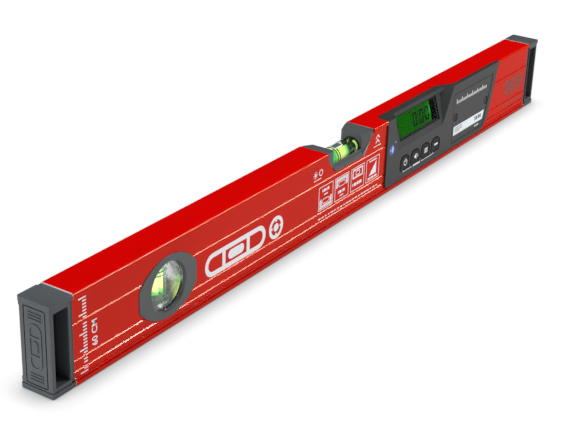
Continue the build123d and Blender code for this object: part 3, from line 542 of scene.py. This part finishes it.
def stroke(points, width):
    """Line of a width through points, mitred at its corners, one quad a run."""
    runs = [math.atan2(v1 - v0, u1 - u0) for (u0, v0), (u1, v1) in zip(points, points[1:])]
    sides = []
    for (u, v), before, after in zip(points, runs[:1] + runs, runs + runs[-1:]):
        lean = math.remainder(after - before, 2 * math.pi) / 2
        aim = before + lean + math.pi / 2
        reach = width / 2 / max(math.cos(lean), 0.3)
        du, dv = reach * math.cos(aim), reach * math.sin(aim)
        sides.append(((u - du, v - dv), (u + du, v + dv)))
    return [[low0, low1, high1, high0] for (low0, high0), (low1, high1) in zip(sides, sides[1:])]


def hatch(u0, v0, u1, v1, pitch, width):
    """Slanted lines that fill a rectangle, cut at its sides."""
    lines = []
    tall = v1 - v0
    start_u = u0 - tall + pitch / 2
    while start_u < u1:
        low = max(start_u, u0)
        high = min(start_u + tall, u1)
        if high - low > width:
            lines.append([(low, v0 + low - start_u), (high, v0 + high - start_u)])
        start_u += pitch
    return [quad for line in lines for quad in stroke(line, width)]


def face_place(origin_mm, out, up=(0, 0, 1)):
    """Matrix that puts a flat drawing on a face: its u to the right, its v up, its thickness outwards."""
    out, up = Vector(out).normalized(), Vector(up).normalized()
    turn = Matrix((up.cross(out), up, out)).transposed().to_4x4()
    return Matrix.Translation(Vector(origin_mm) * MM) @ turn


def show(name, mesh, material, body):
    """Puts a finished mesh into the scene, riding on a body."""
    mesh.name = name
    if not mesh.materials:
        mesh.materials.append(material)
    piece = bpy.data.objects.new(name, mesh)
    bpy.context.scene.collection.objects.link(piece)
    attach(piece, body)
    return piece


def slab_mesh(shapes, place, thickness):
    """Flat shapes given a thickness, closed all round, on a face."""
    sheet = bmesh.new()
    for shape in shapes:
        sheet.faces.new([sheet.verts.new((u * MM, v * MM, 0.0)) for u, v in shape])
    bmesh.ops.remove_doubles(sheet, verts=sheet.verts, dist=1e-6)
    raised = bmesh.ops.extrude_face_region(sheet, geom=sheet.faces[:], use_keep_orig=True)
    tops = [v for v in raised["geom"] if isinstance(v, bmesh.types.BMVert)]
    bmesh.ops.translate(sheet, verts=tops, vec=(0, 0, thickness * MM))
    bmesh.ops.recalc_face_normals(sheet, faces=sheet.faces)
    bmesh.ops.transform(sheet, matrix=place, verts=sheet.verts)
    mesh = bpy.data.meshes.new("slab")
    sheet.to_mesh(mesh)
    sheet.free()
    return mesh


def printed(name, shapes, place, material, body="level", thickness=print_thickness):
    return show(name, slab_mesh(shapes, place, thickness), material, body)


web = face_place((0, web_y, 0), (0, -1, 0))
bezel = face_place((0, bezel_y, 0), (0, -1, 0))
cover = face_place((0, cover_y, 0), (0, -1, 0))


# ---- repeated bars, made with Geometry Nodes ----
def bar_row_tree():
    """A row of bars along u. Each tick is as long as its place in the count of five says, each bar's width
    can vary, and bars over a profile groove are left out."""
    tree = bpy.data.node_groups.new("bar_row", "GeometryNodeTree")
    tree.interface.new_socket("Geometry", in_out="OUTPUT", socket_type="NodeSocketGeometry")
    for name, kind in (
        ("Count", "Int"), ("Start", "Float"), ("Pitch", "Float"), ("Bar Width", "Float"),
        ("Short Height", "Float"), ("Long Height", "Float"), ("Thickness", "Float"),
        ("Width Spread", "Float"), ("Groove Gap", "Float"), ("Long Every", "Int"), ("Seed", "Int"),
        ("Ink", "Material"),
    ):
        tree.interface.new_socket(name, in_out="INPUT", socket_type="NodeSocket" + kind)
    given = add(tree, "NodeGroupInput").outputs
    step = add(tree, "ShaderNodeCombineXYZ", {"X": given["Pitch"]})
    first = add(tree, "ShaderNodeCombineXYZ", {"X": given["Start"]})
    row = add(tree, "GeometryNodeMeshLine", {
        "Count": given["Count"], "Start Location": first, "Offset": step,
    })
    along = add(tree, "ShaderNodeSeparateXYZ", {"Vector": add(tree, "GeometryNodeInputPosition")})
    for groove in groove_heights:
        offset = add(tree, "ShaderNodeMath", {0: along, 1: groove * MM}, operation="SUBTRACT")
        away = add(tree, "ShaderNodeMath", {0: offset}, operation="ABSOLUTE")
        near = add(tree, "ShaderNodeMath", {0: away, 1: given["Groove Gap"]}, operation="LESS_THAN")
        row = add(tree, "GeometryNodeDeleteGeometry", {"Geometry": row, "Selection": near})
    number = add(tree, "GeometryNodeInputIndex")
    count_of = add(tree, "ShaderNodeMath", {0: number, 1: given["Long Every"]}, operation="MODULO")
    is_long = add(tree, "ShaderNodeMath", {0: count_of, 1: 0.5}, operation="LESS_THAN")
    height = add(tree, "ShaderNodeMix", {0: is_long, 2: given["Short Height"], 3: given["Long Height"]})
    chance = add(tree, "FunctionNodeRandomValue", {"Seed": given["Seed"]}, data_type="FLOAT").outputs[1]
    width = add(tree, "ShaderNodeMath", {
        0: chance, 1: given["Width Spread"], 2: given["Bar Width"],
    }, operation="MULTIPLY_ADD")
    size = add(tree, "ShaderNodeCombineXYZ", {"X": width, "Y": height, "Z": given["Thickness"]})
    middle = add(tree, "ShaderNodeVectorMath", {0: size, 1: (0.0, 0.5, 0.5)}, operation="MULTIPLY")
    shifted = add(tree, "GeometryNodeSetPosition", {"Geometry": row, "Offset": middle})
    block = add(tree, "GeometryNodeMeshCube", {"Size": (1.0, 1.0, 1.0)})
    bars = add(tree, "GeometryNodeInstanceOnPoints", {
        "Points": shifted, "Instance": block, "Scale": size,
    })
    real = add(tree, "GeometryNodeRealizeInstances", {"Geometry": bars})
    inked = add(tree, "GeometryNodeSetMaterial", {"Geometry": real, "Material": given["Ink"]})
    add(tree, "NodeGroupOutput", {"Geometry": inked})
    return tree


bar_row = bar_row_tree()


def grow(tree, values):
    """Evaluates a tree with the named inputs and returns its result as a plain mesh."""
    seed_mesh = bpy.data.meshes.new("seed")
    carrier = bpy.data.objects.new("carrier", seed_mesh)
    bpy.context.scene.collection.objects.link(carrier)
    modifier = carrier.modifiers.new("grow", "NODES")
    modifier.node_group = tree
    for item in tree.interface.items_tree:
        if item.item_type == "SOCKET" and item.in_out == "INPUT" and item.name in values:
            modifier[item.identifier] = values[item.name]
    evaluated = carrier.evaluated_get(bpy.context.evaluated_depsgraph_get())
    mesh = bpy.data.meshes.new_from_object(evaluated)
    carrier.modifiers.remove(modifier)
    bpy.data.objects.remove(carrier)
    return mesh


def bars(name, place, ink, count, pitch, width, short, long, start_mm=0.0, spread_mm=0.0, gap=0.0,
         every=5, seed=3, thickness=print_thickness, body="level"):
    """A row of bars on a face, its first bar start_mm along it."""
    mesh = grow(bar_row, {
        "Count": count, "Start": start_mm * MM, "Pitch": pitch * MM, "Bar Width": width * MM,
        "Short Height": short * MM, "Long Height": long * MM, "Thickness": thickness * MM,
        "Width Spread": spread_mm * MM, "Groove Gap": gap * MM, "Long Every": every, "Seed": seed, "Ink": ink,
    })
    mesh.transform(place)
    return show(name, mesh, ink, body)


# ---- print on the web ----
def vial_sign(u0, v0, u1, v1, line):
    """Spirit-level sign: a capsule with a bubble between two lines."""
    middle_u, middle_v = (u0 + u1) / 2, (v0 + v1) / 2
    across, tall = u1 - u0, v1 - v0
    shapes = frame_line(u0, v0, u1, v1, tall / 2 - 0.01, line)
    for side in (-1, 1):
        u = middle_u + side * across * 0.2
        shapes.append(bar(u - line / 2, v0 + line, u + line / 2, v1 - line))
    du, dv = across * 0.13, tall * 0.2
    shapes.append(rounded(middle_u - du, middle_v - dv, middle_u + du, middle_v + dv, tall * 0.19))
    return shapes


def target_sign(u, v, radius, line):
    """Bullseye sign: a ring with a dot and four short marks."""
    shapes = arc(u, v, radius, radius - line) + [disc(u, v, radius * 0.7, radius * 0.7)]
    for du, dv in ((1, 0), (-1, 0), (0, 1), (0, -1)):
        reach = [(u + du * r, v + dv * r) for r in (radius * 0.5, radius - line)]
        shapes += stroke(reach, line * 0.7)
    return shapes


printed("level_sign", vial_sign(-176.5, 17.4, -109.0, 34.2, 3.4), web, print_white)
printed("target_sign", target_sign(-96.5, 25.8, 8.4, 2.6), web, print_white)

upright = face_place((-288.4, web_y, 0), (0, -1, 0), (-1, 0, 0))
bars("end_scale", upright, print_white, 24, 2.1, 0.9, 3.2, 6.4, start_mm=5.6, gap=1.05)


def length_figure():
    """The length in centimetres, reading up the end of the web."""
    words = bpy.data.curves.new("length_figure", "FONT")
    words.body = "60 CM"
    words.size = 6.4 * MM
    words.extrude = print_thickness * MM
    words.offset = 0.0001
    carrier = bpy.data.objects.new("length_figure_words", words)
    bpy.context.scene.collection.objects.link(carrier)
    mesh = bpy.data.meshes.new_from_object(carrier.evaluated_get(bpy.context.evaluated_depsgraph_get()))
    bpy.data.objects.remove(carrier)
    mesh.materials.clear()
    mesh.transform(face_place((-279.8, web_y, 18.7), (0, -1, 0), (-1, 0, 0)))
    show("length_figure", mesh, print_white, "level")


length_figure()


def marks(u, v, runs, height):
    """Row of short bars; runs are (gap, length) pairs."""
    shapes = []
    for gap, length in runs:
        u += gap
        shapes.append(bar(u, v, u + length, v + height))
        u += length
    return shapes


def accuracy_signs():
    """Four framed signs: vial upright, vial overhead, display, and slope."""
    low, high = 17.9, 36.4
    for left in (-43.0, -21.4, 0.6, 22.4):
        yield from frame_line(left, low, left + 19.0, high, 0.3, 0.55)
    first = -43.0
    yield from marks(first + 4.5, 31.6, ((0, 1.0), (0.8, 2.6), (0.7, 0.8), (0.7, 2.6)), 2.2)
    yield from marks(first + 7.0, 28.8, ((0, 5.0),), 0.9)
    yield from hatch(first + 1.2, 19.1, first + 17.8, 21.6, 0.9, 0.5)
    yield from hatch(first + 1.2, 21.6, first + 4.2, 26.4, 0.9, 0.5)
    yield from hatch(first + 14.8, 21.6, first + 17.8, 26.4, 0.9, 0.5)
    yield from frame_line(first + 4.8, 22.2, first + 14.2, 26.2, 1.9, 0.55)
    second = -21.4
    yield from hatch(second + 1.2, 32.7, second + 17.8, 35.2, 0.9, 0.5)
    yield from hatch(second + 1.2, 27.9, second + 4.2, 32.7, 0.9, 0.5)
    yield from hatch(second + 14.8, 27.9, second + 17.8, 32.7, 0.9, 0.5)
    yield from frame_line(second + 4.8, 28.1, second + 14.2, 32.1, 1.9, 0.55)
    yield from marks(second + 4.5, 23.0, ((0, 1.0), (0.8, 2.6), (0.7, 0.8), (0.7, 2.6)), 2.2)
    yield from marks(second + 7.0, 20.4, ((0, 5.0),), 0.9)
    third = 0.6
    yield from frame_line(third + 2.2, 27.6, third + 16.8, 35.0, 0.8, 1.2)
    yield from frame_line(third + 6.6, 29.4, third + 12.4, 33.2, 0.8, 0.7)
    yield from marks(third + 2.6, 21.6, ((0, 1.0), (1.0, 3.6), (0.8, 2.2), (0.7, 3.6)), 2.4)
    fourth = 22.4
    yield from marks(fourth + 4.4, 33.6, ((0, 2.0), (0.5, 8.0)), 1.0)
    yield [(fourth + 4.2, 22.6), (fourth + 14.6, 22.6), (fourth + 14.6, 32.6)]
    yield from marks(fourth + 2.8, 19.6, ((0, 3.4), (0.7, 4.4), (0.7, 4.0)), 1.5)


printed("accuracy_signs", list(accuracy_signs()), web, print_white)
bars("note_line", face_place((0, web_y, 11.0), (0, -1, 0)), print_white, 20, 4.2, 1.9, 1.0, 1.0,
     start_mm=-41.0, spread_mm=2.0, seed=7)


def lamp_sign():
    """Small sun, ring and underline left of the level vial."""
    yield disc(-48.4, 48.0, 2.5, 2.5)
    for i in range(8):
        turn = math.radians(45 * i)
        reach = [(-48.4 + r * math.cos(turn), 48.0 + r * math.sin(turn)) for r in (1.7, 2.8)]
        yield from stroke(reach, 0.5)
    yield from arc(-41.4, 48.1, 2.5, 1.7)
    yield from marks(-50.4, 43.4, ((0, 3.0), (0.5, 6.0)), 0.7)


def grip_sign():
    """Two small chevrons and an underline right of the level vial."""
    for low in (46.8, 50.4):
        yield from stroke([(34.4, low), (37.0, low + 2.4), (39.6, low)], 1.0)
    yield from marks(31.6, 43.9, ((0, 5.0), (0.5, 5.0)), 0.7)


printed("lamp_sign", list(lamp_sign()), web, print_white)
printed("grip_sign", list(grip_sign()), web, print_white)
bars("stock_bars", face_place((0, web_y, 21.5), (0, -1, 0)), print_stock, 24, 1.5, 0.35, 14.5, 14.5,
     start_mm=259.0, spread_mm=0.8, seed=11)
bars("stock_line", face_place((0, web_y, 12.2), (0, -1, 0)), print_stock, 9, 3.9, 1.8, 1.2, 1.2,
     start_mm=260.5, spread_mm=1.6, seed=5)


# ---- print on the module ----
printed("signal_badge", [disc(57.9, 34.3, 8.0, 8.6)], bezel, print_blue)
raised_bezel = face_place((0, bezel_y - print_thickness, 0), (0, -1, 0))
printed(
    "signal_arcs",
    [disc(56.3, 34.3, 1.3, 1.3)] + arc(56.3, 34.3, 2.5, 1.9, -50, 50, 10)
    + arc(56.3, 34.3, 3.9, 3.2, -50, 50, 12),
    raised_bezel, print_white,
)
printed("signal_dot", [disc(63.2, 39.4, 0.9, 0.9, 14)], bezel, print_white)
printed(
    "key_bracket",
    stroke([(77.9, 11.0), (77.9, 9.8)], 0.5) + stroke([(77.65, 9.6), (92.4, 9.6)], 0.45)
    + marks(94.0, 8.9, ((0, 3.0), (0.4, 2.2), (0.4, 3.2), (0.4, 1.6)), 1.6)
    + stroke([(107.4, 9.6), (127.6, 9.6)], 0.45) + stroke([(127.35, 9.8), (127.35, 11.0)], 0.5),
    bezel, print_white,
)


def key_signs():
    """Sign on each key: power, sound, unit and hold."""
    power = arc(0, 0, 2.6, 1.9, 120, 420) + stroke([(0, 0.4), (0, 3.4)], 0.8)
    sound = [[(-2.4, -1.0), (-1.0, -1.0), (0.9, -2.6), (0.9, 2.6), (-1.0, 1.0), (-2.4, 1.0)]]
    sound += arc(0.9, 0, 2.6, 2.0, -40, 40, 8)
    unit = [bar(-2.4, 0.9, 2.4, 1.9), bar(-2.4, -0.5, -0.3, 0.4), bar(0.3, -0.5, 2.4, 0.4)]
    unit.append(bar(-2.4, -2.0, 2.4, -1.1))
    hold = [bar(-2.7, -0.8, 2.7, 0.8)]
    for name, shapes in (("power", power), ("sound", sound), ("unit", unit), ("hold", hold)):
        place = face_place((key_x[name] + 1.0, key_y, key_z), (0, -1, 0))
        printed(name + "_sign", shapes, place, print_white, name + "_key")


key_signs()


# ---- print, and painted shade, on the battery cover ----
bars("angle_scale", face_place((0, cover_y, 41.8), (0, -1, 0)), print_white, 30, 1.85, 0.8, 2.4, 4.2,
     start_mm=163.6, body="battery_door")


def painted_seam_shade():
    """Painted shade: a dark line where the gap round the battery cover lies."""
    low, high = (corner * 1000 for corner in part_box("battery_cover"))
    foot_x = high.x - (high.z - low.z) * cover_lean
    corners = [(low.x, high.z), (low.x, low.z), (foot_x, low.z), (high.x, high.z)]
    printed("painted_seam_shade", stroke(corners + corners[:1], seam_shade_width), bezel, shade_print)


def screw_well_shade():
    """Painted shade: a dark ring round each of the cover's screws, where its well lies."""
    low, high = (corner * 1000 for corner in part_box("cover_screws"))
    middle_z, radius = (low.z + high.z) / 2, (high.z - low.z) / 2
    rings = []
    for x in (low.x + radius, high.x - radius):
        rings += arc(x, middle_z, radius + 0.9, radius + 0.2)
    printed("screw_well_shade", rings, cover, shade_print, "battery_door")


def label_marks():
    """Four broken lines and a group of blocks on the rating label."""
    for height, first, second in ((20.2, 7.0, 5.0), (18.9, 4.0, 9.0), (17.6, 9.0, 4.0), (16.3, 6.0, 3.0)):
        yield from marks(163.4, height, ((0, first), (0.6, second)), 0.5)
    yield from marks(199.5, 16.9, ((0, 1.0), (0.9, 3.0), (1.4, 2.4), (0.7, 2.4)), 3.2)


painted_seam_shade()
screw_well_shade()
printed("label_marks", list(label_marks()), cover, print_dark, "battery_door")
three_squares = marks(201.0, 10.8, ((0, 1.5), (1.0, 1.5), (1.0, 1.5)), 1.5)
printed("cover_marks", three_squares, cover, print_white, "battery_door")


# ---- display ----
tilt = math.atan2(well_depth, well_height)
lcd_out = (0, -math.cos(tilt), math.sin(tilt))
lcd_up = (0, math.sin(tilt), math.cos(tilt))
lcd_depth = 1.9
digit_rise = 0.15


def on_display(depth_mm):
    """Place on the display at a depth behind its face; u is the level's X, v runs up from the well's foot."""
    foot = Vector((0, bezel_y, well_foot)) - Vector(lcd_out) * depth_mm
    return face_place(foot, lcd_out, lcd_up)


def digit_zero(u, v, wide, tall, line):
    """Seven-segment zero with a slight lean, without its middle segment."""
    lean = 0.10
    gap = 0.28
    middle = v + tall / 2
    half = line * 0.5
    flats = [(u + half, low, u + wide - half, low + line) for low in (v, v + tall - line)]
    posts = []
    for left in (u, u + wide - line):
        for low, high in ((v + half + gap, middle - gap), (middle + gap, v + tall - half - gap)):
            posts.append((left, low, left + line, high))
    return [[(a + lean * (b - v), b) for a, b in bar(*box)] for box in flats + posts]


def display_digits():
    """The reading 0.00 and a small mark at the top."""
    shapes = []
    for u in (99.4, 109.6, 118.4):
        shapes += digit_zero(u, 9.4, 6.8, 11.2, 1.9)
    shapes.append(bar(107.2, 9.4, 108.6, 10.9))
    shapes.append(bar(96.0, 21.8, 98.4, 22.6))
    return shapes


digits_place = on_display(lcd_depth - digit_rise)
printed("display_digits", display_digits(), digits_place, segment_ink, thickness=0.05)


# ---- painted highlight on the level vial ----
def vial_highlight_decal():
    """Painted highlight: a white-edged grey patch laid round the top of the level vial's tube."""
    radius = 7.5
    low, high, steps = -2.4, 3.4, 8
    left, right, line = -10.5, 0.5, 0.7
    rise = (high - low) / steps
    runs = [(low + i * rise, low + (i + 1) * rise) for i in range(steps)]
    edge = [bar(left, a, left + line, b) for a, b in runs] + [bar(right - line, a, right, b) for a, b in runs]
    edge += [bar(left + line, foot, right - line, foot + line) for foot in (low, high - line)]
    patch = [bar(left + line, a, right - line, b) for a, b in runs[1:-1]]
    for name, shapes, ink in (("vial_highlight_edge", edge, print_white), ("vial_highlight_patch", patch, print_dark)):
        mesh = slab_mesh(shapes, Matrix.Identity(4), 0.04)
        for point in mesh.vertices:
            turn = point.co.y / (radius * MM)
            out = radius * MM + point.co.z
            point.co = (point.co.x, -out * math.sin(turn), level_z * MM + out * math.cos(turn))
        show(name, mesh, ink, "level")


vial_highlight_decal()


# ---- relief on the caps' end faces ----
def cap_relief_piece(side, body):
    """Raised spirit-level sign up the end face, with grip ribs above and below it."""
    place = face_place((side * cap_face_x, 0, cap_middle), (side, 0, 0))
    sign = [[(-v, u) for u, v in shape] for shape in vial_sign(-15.0, -5.0, 15.0, 5.0, 1.5)]
    side_name = "left" if side < 0 else "right"
    printed(side_name + "_cap_sign", sign, place, cap_plastic, body, cap_relief)
    for low, name in ((-22.0, "_cap_foot_ribs"), (17.6, "_cap_head_ribs")):
        across = face_place((side * cap_face_x, 0, cap_middle), (side, 0, 0), (0, -side, 0))
        centred = across @ Matrix.Translation((0, -rib_length / 2 * MM, 0))
        bars(side_name + name, centred, cap_plastic, 3, 2.0, 0.8, rib_length, rib_length, start_mm=low,
             thickness=cap_relief, body=body)


cap_relief_piece(-1, "left_cap")
cap_relief_piece(1, "right_cap")


# ---- stage ----
def plain_floor():
    """Pale seamless floor just under the measuring face. It shines evenly by emission, with a painted shadow
    by ambient occlusion close to what stands on it, as shade falls on a floor under wide soft light."""
    reach = 6.0
    drop_mm, shade_mm = 0.3, 16.5
    material, tree, where = begin("pale_floor")
    # painted shadow: ambient occlusion darkens the floor's glow within shade_mm of the level
    ao_openness = add(tree, "ShaderNodeAmbientOcclusion", {"Distance": shade_mm * MM}, samples=16).outputs["AO"]
    tooth = add(tree, "ShaderNodeTexNoise", {"Vector": where, "Scale": 1 / (30 * MM)})
    evenness = add(tree, "ShaderNodeMapRange", {"Value": tooth, "To Min": 0.99, "To Max": 1.01})
    lit = add(tree, "ShaderNodeMath", {0: ao_openness, 1: evenness}, operation="MULTIPLY")
    shader = add(tree, "ShaderNodeBsdfPrincipled", {
        "Base Color": linear("#000000"), "Specular IOR Level": 0.0, "Emission Strength": 1.0,
        "Emission Color": add(tree, "ShaderNodeValToRGB", {"Fac": lit}, ((0.0, "#000000"), (1.0, "#FFFFFF"))),
    })
    add(tree, "ShaderNodeOutputMaterial", {"Surface": shader})
    sheet = bmesh.new()
    sheet.faces.new([sheet.verts.new((x, y, -drop_mm * MM)) for x, y in bar(-reach, -reach, reach, reach)])
    mesh = bpy.data.meshes.new("floor")
    sheet.to_mesh(mesh)
    sheet.free()
    mesh.materials.append(material)
    floor = bpy.data.objects.new("floor", mesh)
    bpy.context.scene.collection.objects.link(floor)


def soft_lamp(name, place, target, size, watts, tint="#FFFFFF"):
    """Square soft box aimed at a point."""
    data = bpy.data.lights.new(name, "AREA")
    data.size = size
    data.energy = watts
    data.color = linear(tint)[:3]
    lamp = bpy.data.objects.new(name, data)
    aim = (Vector(target) - Vector(place)).to_track_quat("-Z", "Y")
    lamp.matrix_world = Matrix.Translation(place) @ aim.to_matrix().to_4x4()
    bpy.context.scene.collection.objects.link(lamp)


def rim_strip(receivers):
    """Long strip box whose gloss, and nothing else, runs along the profile's rounded edge and grooves."""
    data = bpy.data.lights.new("rim_strip", "AREA")
    data.shape = "RECTANGLE"
    data.size, data.size_y = 1.1, 0.5
    data.energy = 105.0
    data.color = linear("#FFCDB0")[:3]
    lamp = bpy.data.objects.new("rim_strip", data)
    place = Vector((1.25, -0.92, 1.15))
    ahead = (Vector((0, 0, 0.05)) - place).normalized()
    along = (Vector((1, 0, 0)) - ahead * ahead.x).normalized()
    turn = Matrix((along, (-ahead).cross(along), -ahead)).transposed()
    lamp.matrix_world = Matrix.Translation(place) @ turn.to_4x4()
    lamp.visible_diffuse = False
    bpy.context.scene.collection.objects.link(lamp)
    lit = bpy.data.collections.new("rim_lit")
    for piece in receivers:
        lit.objects.link(piece)
    lamp.light_linking.receiver_collection = lit


def room_light():
    """Nearly dark room, seen as a white backdrop where the floor ends."""
    world = bpy.data.worlds.new("studio")
    world.use_nodes = True
    tree = world.node_tree
    tree.nodes.clear()
    seen = add(tree, "ShaderNodeLightPath").outputs["Is Camera Ray"]
    strength = add(tree, "ShaderNodeMapRange", {"Value": seen, "To Min": 0.03, "To Max": 1.0})
    colour = add(tree, "ShaderNodeMix", {
        0: seen, 6: linear("#E8ECF0"), 7: linear("#FFFFFF"),
    }, data_type="RGBA")
    soft = add(tree, "ShaderNodeBackground", {"Color": colour.outputs[2], "Strength": strength})
    add(tree, "ShaderNodeOutputWorld", {"Surface": soft})
    bpy.context.scene.world = world


plain_floor()
room_light()
soft_lamp("top_box", (0.0, 0.2, 1.7), (0, 0, 0), 1.3, 22.0)
soft_lamp("front_box", (1.0, -1.1, 0.95), (-0.1, 0, 0.03), 0.4, 19.5)
soft_lamp("end_box", (-1.7, 0.1, 0.4), (-0.3, 0, 0.03), 0.6, 18.0)
rim_strip([nodes["profile"]])
